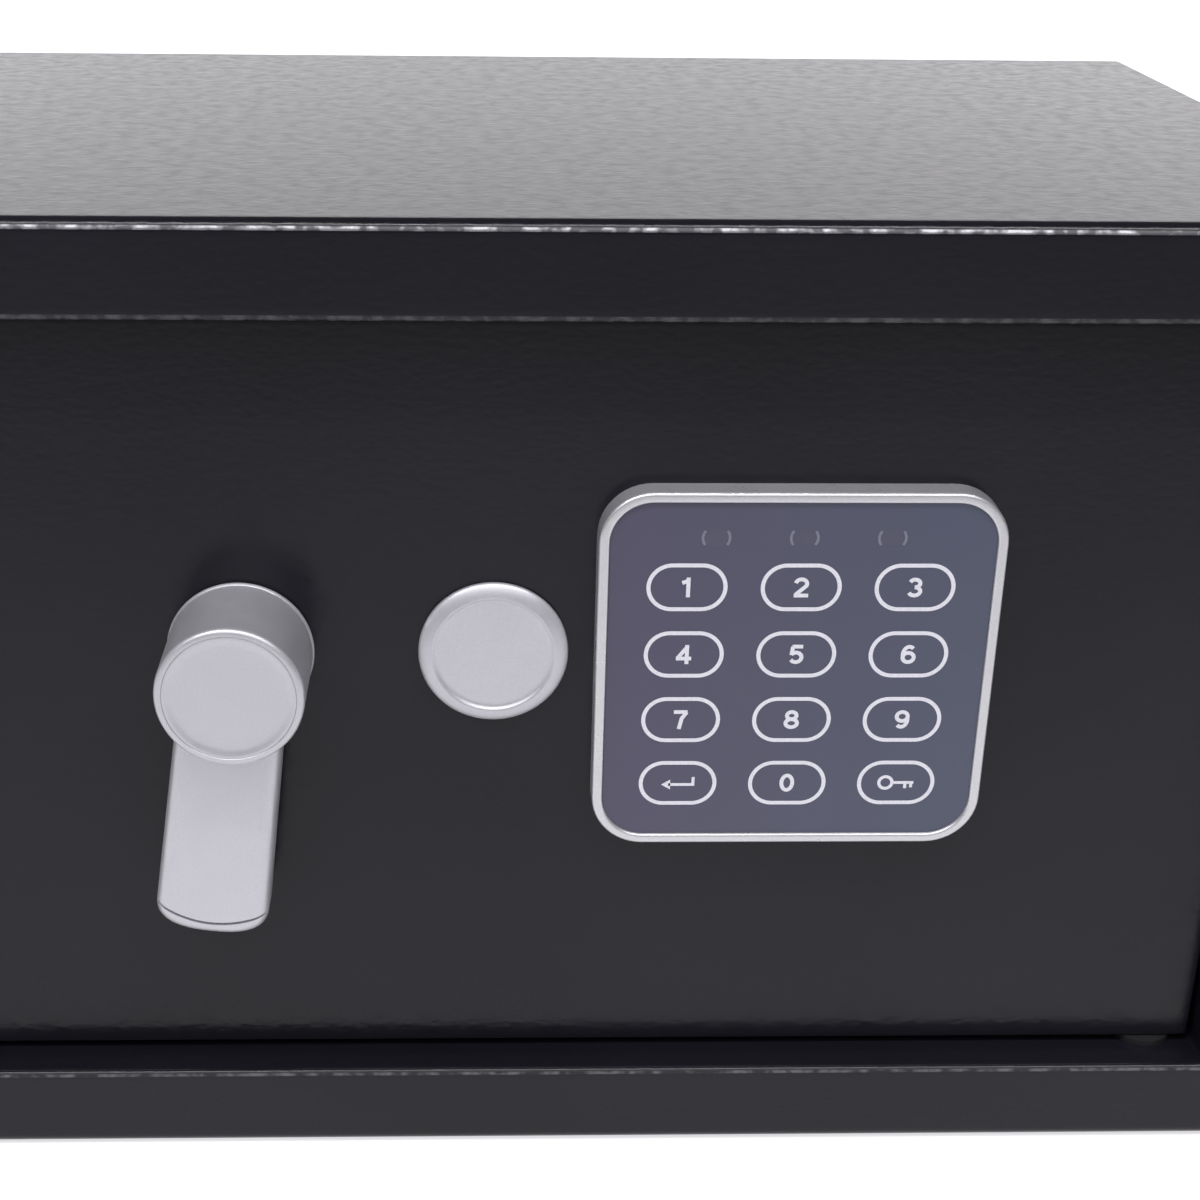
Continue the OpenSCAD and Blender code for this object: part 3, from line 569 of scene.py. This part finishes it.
def make_mat():
    """Felt with softly rounded edges and the two clearance holes."""
    loops = []
    for inset, z in ((0.6, mat.low.z), (0, mat.low.z + 0.7), (0, mat.high.z - 1.2),
                     (0.35, mat.high.z - 0.45), (1.2, mat.high.z)):
        outline = round_outline(mat.size.x - 2 * inset, mat.size.y - 2 * inset, MAT_CORNER - inset)
        loops.append([(mat.mid.x + x, mat.mid.y + y, z) for x, y in outline])
    felt_mat = loft("floor_felt", loops)
    boolean(felt_mat, [rod((x, 0, 0), (x, 0, 8), MAT_HOLE_R) for x in (-FIXING_X, FIXING_X)])
    finish(felt_mat, "cabinet", "mat_felt", SLOT_MATERIALS["mat_felt"], "floor_mat")


# ---- Door ----

DOOR_EDGE = 0.7
DOOR_CORNER = 1.2
SPINDLE_HOLE_R = 6.0
LOCK_HOLE_R = 10.0
CABLE_HOLE_R = 8.0


def make_door_skin():
    """The door plate with slightly softened edges and its real holes."""
    mid = Vector((door.mid.x, 0, door.mid.z))
    loops = []

    def station(inset, y):
        outline = round_outline(door.size.x - 2 * inset, door.size.z - 2 * inset, DOOR_CORNER - inset * 0.5)
        loops.append(upright(outline, mid, y))

    station(1.5, door.high.y)
    station(0.3, door.high.y)
    station(0, door.high.y - 0.3)
    station(0, door.low.y + DOOR_EDGE)
    for sine, cosine in quarter(5):
        station(DOOR_EDGE * (1 - cosine), door.low.y + DOOR_EDGE * (1 - sine))
    station(DOOR_EDGE + 0.8, door.low.y)
    skin = loft("door_skin", loops)
    y0, y1 = door.low.y - 1, door.high.y + 1
    holes = [rod((x, y0, z), (x, y1, z), r) for x, z, r in
             ((knob_at.x, knob_at.z, SPINDLE_HOLE_R), (cap.mid.x, cap.mid.z, LOCK_HOLE_R),
              (bezel.mid.x, bezel.mid.z, CABLE_HOLE_R))]
    boolean(skin, holes)
    finish(skin, "door", "black_coat", COAT, "door_plate")


COVER_FOLD = 2.5
COVER_SHEET = 1.2
COVER_CORNER = 6.0
LID_GAP = 0.2
BUTTON_HOLE_R = 4.0
BOLT_R = 9.0
POST_R = 4.0
SCREW_HOLE_R = 1.7


def make_cover_skin():
    """The pressed cover on the door's inside, with a rounded back edge and its openings."""
    mid = Vector((cover.mid.x, 0, cover.mid.z))
    loops = []

    def station(inset, y, radius):
        outline = round_outline(cover.size.x - 2 * inset, cover.size.z - 2 * inset, radius)
        loops.append(upright(outline, mid, y))

    inner = COVER_SHEET
    back = cover.high.y
    station(inner, cover.low.y, COVER_CORNER - inner)
    station(0, cover.low.y, COVER_CORNER)
    station(0, back - COVER_FOLD - 1, COVER_CORNER)
    for sine, cosine in quarter(7):
        inset = COVER_FOLD * (1 - cosine)
        station(inset, back - COVER_FOLD * (1 - sine), COVER_CORNER - inset)
    station(COVER_FOLD + 1, back, COVER_CORNER - COVER_FOLD)
    outer = len(loops)
    station(COVER_FOLD + 1, back - inner, COVER_CORNER - COVER_FOLD)
    for sine, cosine in reversed(quarter(7)):
        fold = COVER_FOLD - inner
        station(inner + fold * (1 - cosine), back - inner - fold * (1 - sine),
                COVER_CORNER - inner - fold * (1 - cosine))
    count = len(loops[0])
    points = [p for loop in loops for p in loop]
    faces = []
    for i in range(len(loops)):
        if i == outer - 1:
            continue
        a, b = i * count, (i + 1) % len(loops) * count
        for j in range(count):
            k = (j + 1) % count
            faces.append((a + j, a + k, b + k, b + j))
    faces.append(tuple(range((outer - 1) * count, outer * count)))
    faces.append(tuple(range(outer * count, (outer + 1) * count)))
    skin = build("cover_skin", points, faces)
    lid = Span("battery_cover")
    reset = Span("reset_button")
    bolts = Span("locking_bolts")
    posts = Span("cover_posts")
    around = round_outline(lid.size.x + 2 * LID_GAP, lid.size.z + 2 * LID_GAP, 1.6)
    tools = [loft("cutter", [upright(around, lid.mid, back - 3), upright(around, lid.mid, back + 3)])]

    def bore(x, z, radius):
        tools.append(rod((x, back - 3, z), (x, back + 3, z), radius))

    bore(reset.mid.x, reset.mid.z, BUTTON_HOLE_R)
    for z in (bolts.low.z + BOLT_R, bolts.high.z - BOLT_R):
        tools.append(rod((cover.low.x - 3, bolts.mid.y, z), (cover.low.x + 4, bolts.mid.y, z), BOLT_R + 1))
    for x in (posts.low.x + POST_R, posts.high.x - POST_R):
        for z in (posts.low.z + POST_R, posts.high.z - POST_R):
            bore(x, z, SCREW_HOLE_R)
    boolean(skin, tools)
    finish(skin, "door", "black_coat", COAT, "inner_cover")


SCOOP_DOWN = 7.8
RIBS_DOWN = 16.0
RIB_PITCH = 2.2


def make_battery_lid():
    """The battery cover: softened edges, a thumb scoop and five grip ribs."""
    lid = Span("battery_cover")
    loops = []
    for inset, y in ((0.3, lid.low.y), (0, lid.low.y + 0.3), (0, lid.high.y - 0.5),
                     (0.15, lid.high.y - 0.15), (0.5, lid.high.y)):
        outline = round_outline(lid.size.x - 2 * inset, lid.size.z - 2 * inset, 1.5 - inset)
        loops.append(upright(outline, lid.mid, y))
    plate = loft("battery_lid", loops)
    scoop = Vector((lid.mid.x, 0, lid.high.z - SCOOP_DOWN))
    wide = upright(round_outline(18, 6, 2.9), scoop, lid.high.y + 0.5)
    narrow = upright(round_outline(16.4, 4.4, 2.1), scoop, lid.high.y - 0.9)
    boolean(plate, [loft("cutter", [wide, narrow])])
    ribs = []
    for i in range(5):
        at = Vector((lid.mid.x, 0, lid.high.z - RIBS_DOWN - RIB_PITCH * i))
        ribs.append(loft("rib", [upright(round_outline(18, 1.1, 0.5), at, lid.high.y - 0.4),
                                 upright(round_outline(17.4, 0.6, 0.28), at, lid.high.y + 0.35)]))
    boolean(plate, ribs, "UNION")
    finish(plate, "battery_cover", "black_plastic", SLOT_MATERIALS["black_plastic"], "battery_cover")


# ---- Lever ----

KNOB_BASE_R = 14.45
KNOB_R = 14.15
KNOB_OUT = 22.5
KNOB_EDGE = 1.0
DISC_R = 12.65
BLADE_HALF = 10.2
BLADE_END_HALF = 11.4
BLADE_LEN = 57.3
BLADE_FROM = 6.0
BLADE_TO = 15.0
BLADE_ROUND = 2.8
BLADE_LEAN = math.radians(7.6)
END_RISE = 6.5
SEAM_RISE = 3.3
SEAM_BOW = 3.6
SEAM_WIDTH = 0.6
SEAM_DEPTH = 0.8


def blade_outline(inset, steps=28):
    """The blade from the front: x across, z up, the axis at 0. It widens to a softly squared end."""
    def half(z):
        return BLADE_HALF + (BLADE_END_HALF - BLADE_HALF) * -z / BLADE_LEN - inset

    shoulder = END_RISE - BLADE_LEN
    sides = [shoulder * i / 7 for i in range(7)]
    outline = [(half(z), z) for z in sides]
    for i in range(steps + 1):
        c, s = math.cos(math.pi * i / steps), math.sin(math.pi * i / steps)
        x = half(shoulder) * math.copysign(abs(c) ** 0.8, c)
        outline.append((x, shoulder - (END_RISE - inset) * s ** 0.8))
    return outline + [(-half(z), z) for z in reversed(sides)]


def on_lever(outline, out):
    """Lays an outline in the lever's leaning frame, at a distance out of the door's face."""
    c, s = math.cos(BLADE_LEAN), math.sin(BLADE_LEAN)
    return [(knob_at.x + x * c + z * s, knob_at.y - out, knob_at.z - x * s + z * c) for x, z in outline]


def seam_cutter():
    """A bowed line right across the blade, just above its end, of even depth over the round edges too."""
    loops = []
    for i in range(-52, 53):
        x = i * 0.25
        z = SEAM_RISE - BLADE_LEN + SEAM_BOW * (x / BLADE_END_HALF) ** 2
        past_edge = min(max(abs(x) - (BLADE_END_HALF - BLADE_ROUND), 0) / BLADE_ROUND, 0.98)
        floor = BLADE_TO - BLADE_ROUND * (1 - math.sqrt(1 - past_edge ** 2)) - SEAM_DEPTH
        low, high = (x, z - SEAM_WIDTH), (x, z)
        loops.append(on_lever([low, high], floor) + on_lever([high, low], BLADE_TO + 1))
    return loft("cutter", loops)


def make_lever():
    """Knob and blade as one casting, with the seam across the blade's end."""
    stations = [(0.9, BLADE_FROM), (0.25, BLADE_FROM + 0.25), (0, BLADE_FROM + 0.9),
                (0, BLADE_TO - BLADE_ROUND - 0.3)]
    for sine, cosine in quarter(8):
        stations.append((BLADE_ROUND * (1 - cosine), BLADE_TO - BLADE_ROUND * (1 - sine)))
    stations += [(BLADE_ROUND + 0.8, BLADE_TO + 0.04), (BLADE_ROUND + 3.0, BLADE_TO + 0.12)]
    blade = loft("blade", [on_lever(blade_outline(inset), out) for inset, out in stations])
    boolean(blade, [seam_cutter()])
    profile = [(5.0, 0.35), (KNOB_BASE_R - 0.3, 0.35), (KNOB_BASE_R, 0.65), (KNOB_BASE_R, 1.1),
               (KNOB_BASE_R - 0.12, 1.3), (KNOB_R + 0.02, 1.5), (KNOB_R, 1.9),
               (KNOB_R, KNOB_OUT - KNOB_EDGE - 0.5)]
    for sine, cosine in quarter(8):
        profile.append((KNOB_R - KNOB_EDGE * (1 - cosine), KNOB_OUT - KNOB_EDGE * (1 - sine)))
    profile += [(DISC_R + 0.12, KNOB_OUT), (DISC_R + 0.03, KNOB_OUT - 0.08),
                (DISC_R + 0.02, KNOB_OUT - 0.6), (3.5, KNOB_OUT - 0.6)]
    knob = lathe("lever_casting", knob_at, profile, 128)
    boolean(knob, [blade], "UNION")
    finish(knob, "lever", "silver_paint", SILVER, "lever")


def make_lever_disc():
    """The pressed-in front disc, a shallow dish with a soft edge."""
    out = KNOB_OUT
    profile = [(DISC_R, out - 1.3), (DISC_R, out - 0.18)]
    profile += [(DISC_R - 0.12 * (1 - c), out - 0.18 + 0.12 * s) for s, c in quarter(4)]
    profile += [(DISC_R - 0.5, out - 0.04), (DISC_R - 0.8, out - 0.12), (DISC_R - 1.2, out - 0.27),
                (DISC_R - 1.6, out - 0.36), (DISC_R - 2.2, out - 0.40), (8, out - 0.42),
                (4, out - 0.42), (1, out - 0.42)]
    disc = lathe("lever_face", knob_at, profile, 128)
    finish(disc, "lever", "silver_paint", SILVER, "lever_disc")


# ---- Cap over the emergency lock ----

def make_cap():
    """A dished cap: a slanted, softly rounded shoulder, a crest, a shallow flat face, hollow behind."""
    r, t = cap.size.x / 2, door.low.y - cap.low.y
    dish = t - 0.58
    centre = Vector((cap.mid.x, door.low.y, cap.mid.z))
    profile = [(0.5, 1.25), (12.1, 1.25), (12.15, 1.1), (12.15, 0.3), (r - 0.2, 0.2),
               (r - 0.04, 0.32), (r, 0.5), (r, 0.85), (r - 0.06, 1.05), (r - 0.22, 1.26),
               (r - 0.50, 1.48), (r - 0.95, 1.74), (r - 1.5, 2.0), (r - 2.0, 2.19),
               (r - 2.35, 2.31), (r - 2.6, t), (r - 2.78, t - 0.04), (r - 2.95, t - 0.16),
               (r - 3.15, t - 0.34), (r - 3.35, t - 0.48), (r - 3.65, t - 0.56),
               (r - 4.2, dish), (8, dish), (4, dish), (0.5, dish)]
    piece = lathe("keyhole_cap", centre, profile, 128)
    finish(piece, "key_cover", "silver_paint", SILVER, "key_cover")


# ---- Keypad ----

RIM = 2.2
PAD_CORNER = 10.5
PRINT_OUT = 0.05
LINE = 0.80
LINE_OVER = (1.1, 1.15)
LINE_LIFT = 0.01


def make_bezel():
    """The plated surround: drafted sides, a round rim and an inner wall down to the board."""
    mid = bezel.mid
    face, base = bezel.low.y, bezel.high.y
    loops = []

    def station(inset, y):
        outline = round_outline(bezel.size.x - 2 * inset, bezel.size.z - 2 * inset, PAD_CORNER - inset, 12)
        loops.append(upright(outline, mid, y))

    station(RIM, base)
    station(0, base)
    station(0, base - 0.4)
    station(0.06, face + 1.1)
    for s, c in quarter(7):
        station(0.06 + 0.7 * (1 - c), face + 0.7 * (1 - s))
    station(1.2, face - 0.02)
    for s, c in quarter(4):
        station(1.6 + 0.5 * s, face + 0.5 * (1 - c))
    station(RIM, panel.low.y + 0.3)
    ring = loft("pad_surround", loops, ring=True)
    finish(ring, "door", "bezel_silver", BEZEL, "keypad_bezel")


def flat_piece(name, outline, centre, y_front, thickness=PRINT_OUT):
    """A thin closed plate with the given outline, whose front lies at y_front."""
    return loft(name, [upright(outline, centre, y_front + thickness), upright(outline, centre, y_front)])


def stadium(width, height, steps=14):
    return round_outline(width, height, height / 2 - 0.001, steps)


def ring_piece(name, outer, inner, centre, y_front, thickness=PRINT_OUT):
    """A thin closed line between two outlines of equal length."""
    y_back = y_front + thickness
    corners = ((outer, y_front), (inner, y_front), (inner, y_back), (outer, y_back))
    return loft(name, [upright(outline, centre, y) for outline, y in corners], ring=True)


def make_key_outlines():
    """The printed lines round the keys, which also cover the slots that the keys move in."""
    for name in KEYS:
        key = Span(name)
        width, height = key.size.x + LINE_OVER[0], key.size.z + LINE_OVER[1]
        inside = stadium(width - 2 * LINE, height - 2 * LINE)
        line = ring_piece("line_" + name, stadium(width, height), inside, key.mid,
                          panel.low.y - PRINT_OUT - LINE_LIFT)
        finish(line, "door", "keypad_grey", INK)


def line_piece(name, path, width, centre, y_front, thickness=PRINT_OUT):
    """A thin printed line of even width along a path of (x, z) points, closed if the path is."""
    path = [Vector(p) for p in path]
    closed = (path[0] - path[-1]).length < 1e-6
    if closed:
        path.pop()
    loops = []
    for i, at in enumerate(path):
        before = (at - path[i - 1]).normalized() if closed or i > 0 else None
        after = (path[(i + 1) % len(path)] - at).normalized() if closed or i < len(path) - 1 else before
        before = before or after
        along = (before + after).normalized()
        side = Vector((-along.y, along.x)) * width / 2 / max(along.dot(before), 0.5)
        corners = [(at + side, 0), (at - side, 0), (at - side, thickness), (at + side, thickness)]
        loops.append([(centre.x + p.x, y_front + out, centre.z + p.y) for p, out in corners])
    return loft(name, loops, ring=closed)


def join(name, parts):
    """Several separate solids as one mesh object."""
    work = bmesh.new()
    for part in parts:
        work.from_mesh(part.data)
        bpy.data.objects.remove(part)
    mesh = bpy.data.meshes.new(name)
    work.to_mesh(mesh)
    work.free()
    made = bpy.data.objects.new(name, mesh)
    bpy.context.scene.collection.objects.link(made)
    return made


def arc(x, z, across, up, start, end, steps=10):
    """Points along part of an ellipse, between two angles in degrees."""
    angles = [math.radians(start + (end - start) * i / steps) for i in range(steps + 1)]
    return [(x + across * math.cos(a), z + up * math.sin(a)) for a in angles]


# The middle lines of each figure's strokes, in a box about 2.3 wide and 3.4 high
FIGURES = {
    "0": [arc(0, 0, 1.1, 1.65, 90, 450, 24)],
    "1": [[(0.25, -2.05), (0.25, 2.05)], [(0.45, 1.75), (-0.15, 1.2), (-0.95, 0.95)]],
    "2": [arc(0, 0.75, 1.1, 0.95, 170, -25) + [(-1.0, -1.5)], [(-1.35, -1.68), (1.45, -1.68)]],
    "3": [arc(-0.05, 0.85, 1.0, 0.82, 160, -90), arc(-0.05, -0.8, 1.12, 0.87, 90, -160)],
    "4": [[(0.6, -2.05), (0.6, 2.05)], [(0.75, 1.8), (-1.25, -0.85)], [(-1.5, -0.85), (1.5, -0.85)]],
    "5": [[(1.25, 1.7), (-0.85, 1.7)], [(-0.72, 1.7), (-0.95, -0.1)],
          arc(-0.05, -0.6, 1.12, 1.05, 145, -150)],
    "6": [arc(0, -0.65, 1.1, 1.0, 0, 360, 20), arc(0.1, 0, 1.2, 1.65, 200, 50)],
    "7": [[(-1.4, 1.7), (1.3, 1.7)], [(1.15, 1.65), (0.2, 0.3), (-0.3, -2.05)]],
    "8": [arc(0, 0.88, 0.95, 0.80, 0, 360, 20), arc(0, -0.80, 1.15, 0.88, 0, 360, 20)],
    "9": [arc(0, 0.65, 1.1, 1.0, 0, 360, 20), arc(-0.1, 0, 1.2, 1.65, 20, -130)],
}
FIGURE_STROKE = 0.78


def figure(text, centre, y_front):
    """A bold printed figure."""
    strokes = [line_piece("stroke", path, FIGURE_STROKE, centre, y_front - i * 0.01)
               for i, path in enumerate(FIGURES[text])]
    return join("legend_" + text, strokes)


def enter_symbol(centre, y_front):
    """A return arrow in place of a word."""
    shaft = line_piece("shaft", [(3.1, 1.35), (3.1, -0.35), (-1.9, -0.35)], 0.6, centre, y_front)
    head = flat_piece("head", [(-3.3, -0.35), (-1.5, 0.75), (-1.5, -1.45)], centre, y_front)
    return join("legend_enter", [shaft, head])


def key_symbol(centre, y_front):
    """A plain key: ring, shaft and two teeth."""
    at = Vector((centre.x - 2.1, 0, centre.z))
    parts = [ring_piece("bow", stadium(3.3, 3.3), stadium(2.0, 2.0), at, y_front)]
    for x0, x1, z0, z1 in ((-0.5, 3.6, -0.3, 0.3), (1.6, 2.2, -1.3, -0.3), (2.8, 3.4, -1.1, -0.3)):
        outline = [(x0, z0), (x1, z0), (x1, z1), (x0, z1)]
        parts.append(flat_piece("bar", outline, centre, y_front))
    return join("legend_program", parts)


def make_legends():
    """What is printed on each key, which moves with it."""
    for name in KEYS:
        key = Span(name)
        face = key.low.y - PRINT_OUT
        if name == "key_enter":
            legend = enter_symbol(key.mid, face)
        elif name == "key_program":
            legend = key_symbol(key.mid, face)
        else:
            legend = figure(name[4:], key.mid, face)
        finish(legend, name, "keypad_grey", INK)


WINDOW_W = 5.4
WINDOW_H = 3.4
WINDOW_SINK = 0.02
WINDOW_THICK = 0.9


def make_windows():
    """Three smooth lamp windows, with faint brackets at their ends."""
    lamps = Span("status_leds")
    for i in range(3):
        centre = Vector((lamps.mid.x + (i - 1) * (lamps.size.x - 2.4) / 2, 0, lamps.mid.z))
        lens = flat_piece("window_%d" % (i + 1), stadium(WINDOW_W, WINDOW_H), centre,
                          panel.low.y + WINDOW_SINK, WINDOW_THICK)
        finish(lens, "door", "keypad_grey", LENS)
        marks = []
        for side in (-1, 1):
            path = [(side * (x + 0.3), z) for x, z in arc(0, 0, 2.3, 2.3, -38, 38, 8)]
            marks.append(line_piece("mark", path, 0.5, centre, panel.low.y - 0.02, 0.04))
        finish(join("window_marks_%d" % (i + 1), marks), "door", "keypad_grey", FAINT_INK)


make_cabinet_skin()
make_mat()
make_door_skin()
make_cover_skin()
make_battery_lid()
make_lever()
make_lever_disc()
make_cap()
make_bezel()
make_key_outlines()
make_legends()
make_windows()


# ---- Stage and light ----

LIGHT_TINT = (0.985, 0.97, 1.0)
ROOM_LIGHT = 0.12


def stage_white():
    """Pale paper that glows where the light box stands, and dims towards the camera's side."""
    f = Finish("stage_white", Roughness=0.9)
    f.shader.inputs["Base Color"].default_value = (0.45, 0.45, 0.45, 1)
    f.shader.inputs["Emission Color"].default_value = (*LIGHT_TINT, 1)
    split = f.add("ShaderNodeSeparateXYZ", {"Vector": f.place}).outputs
    near = f.ramp(split["Y"], -0.70, -0.13, 0.04, 0.66)
    near = f.sum(near, f.ramp(split["Y"], -2.2, -1.3, 1, 0), 0.4)
    far = f.sum(near, f.ramp(split["Y"], 0.1, 1.2, 0, 1), 0.7)
    high = f.ramp(split["Z"], 0.15, 0.6, 0, 1)
    f.feed(f.shader.inputs["Emission Strength"], f.sum(far, high, -0.5))
    return f.material


STAGE_Z = -0.3
STAGE_FRONT = 3000
STAGE_BACK = 2200
STAGE_SWEEP = 800
STAGE_TOP = 1700
STAGE_HALF = 4000


def make_stage():
    """A plain pale floor that runs back and sweeps up into a low wall."""
    profile = [(-STAGE_FRONT, STAGE_Z), (STAGE_BACK, STAGE_Z)]
    for s, c in quarter(12)[1:]:
        profile.append((STAGE_BACK + STAGE_SWEEP * s, STAGE_Z + STAGE_SWEEP * (1 - c)))
    profile.append((STAGE_BACK + STAGE_SWEEP, STAGE_TOP))
    points = [(x, y, z) for y, z in profile for x in (-STAGE_HALF, STAGE_HALF)]
    faces = [(2 * i, 2 * i + 1, 2 * i + 3, 2 * i + 2) for i in range(len(profile) - 1)]
    mesh = bpy.data.meshes.new("stage_floor")
    mesh.from_pydata([Vector(p) * MM for p in points], [], faces)
    floor = bpy.data.objects.new("stage_floor", mesh)
    for face in mesh.polygons:
        face.use_smooth = True
    mesh.materials.append(stage_white())
    bpy.context.scene.collection.objects.link(floor)


def area_light(name, at, towards, size, radiance):
    """A rectangular softbox of a given brightness, where 1 is white."""
    data = bpy.data.lights.new(name, "AREA")
    data.shape = "RECTANGLE"
    data.size, data.size_y = size
    data.energy = radiance * math.pi * size[0] * size[1]
    data.color = LIGHT_TINT
    light = bpy.data.objects.new(name, data)
    light.location = at
    light.rotation_euler = (Vector(towards) - Vector(at)).to_track_quat("-Z", "Y").to_euler()
    bpy.context.scene.collection.objects.link(light)


def make_light():
    """A wide softbox high in front, a strip above it, and a dark room."""
    world = bpy.data.worlds.new("world")
    bpy.context.scene.world = world
    world.use_nodes = True
    room = world.node_tree.nodes["Background"].inputs
    room["Color"].default_value = (*LIGHT_TINT, 1)
    room["Strength"].default_value = ROOM_LIGHT
    area_light("softbox", (-0.15, -0.85, 1.05), (0, -0.1, 0.12), (2.2, 0.9), 1.7)
    area_light("strip", (0, -0.52, 1.2), (0, -0.1, 0.2), (1.8, 0.10), 18.0)
    bpy.context.scene.view_settings.view_transform = "Standard"


make_stage()
make_light()
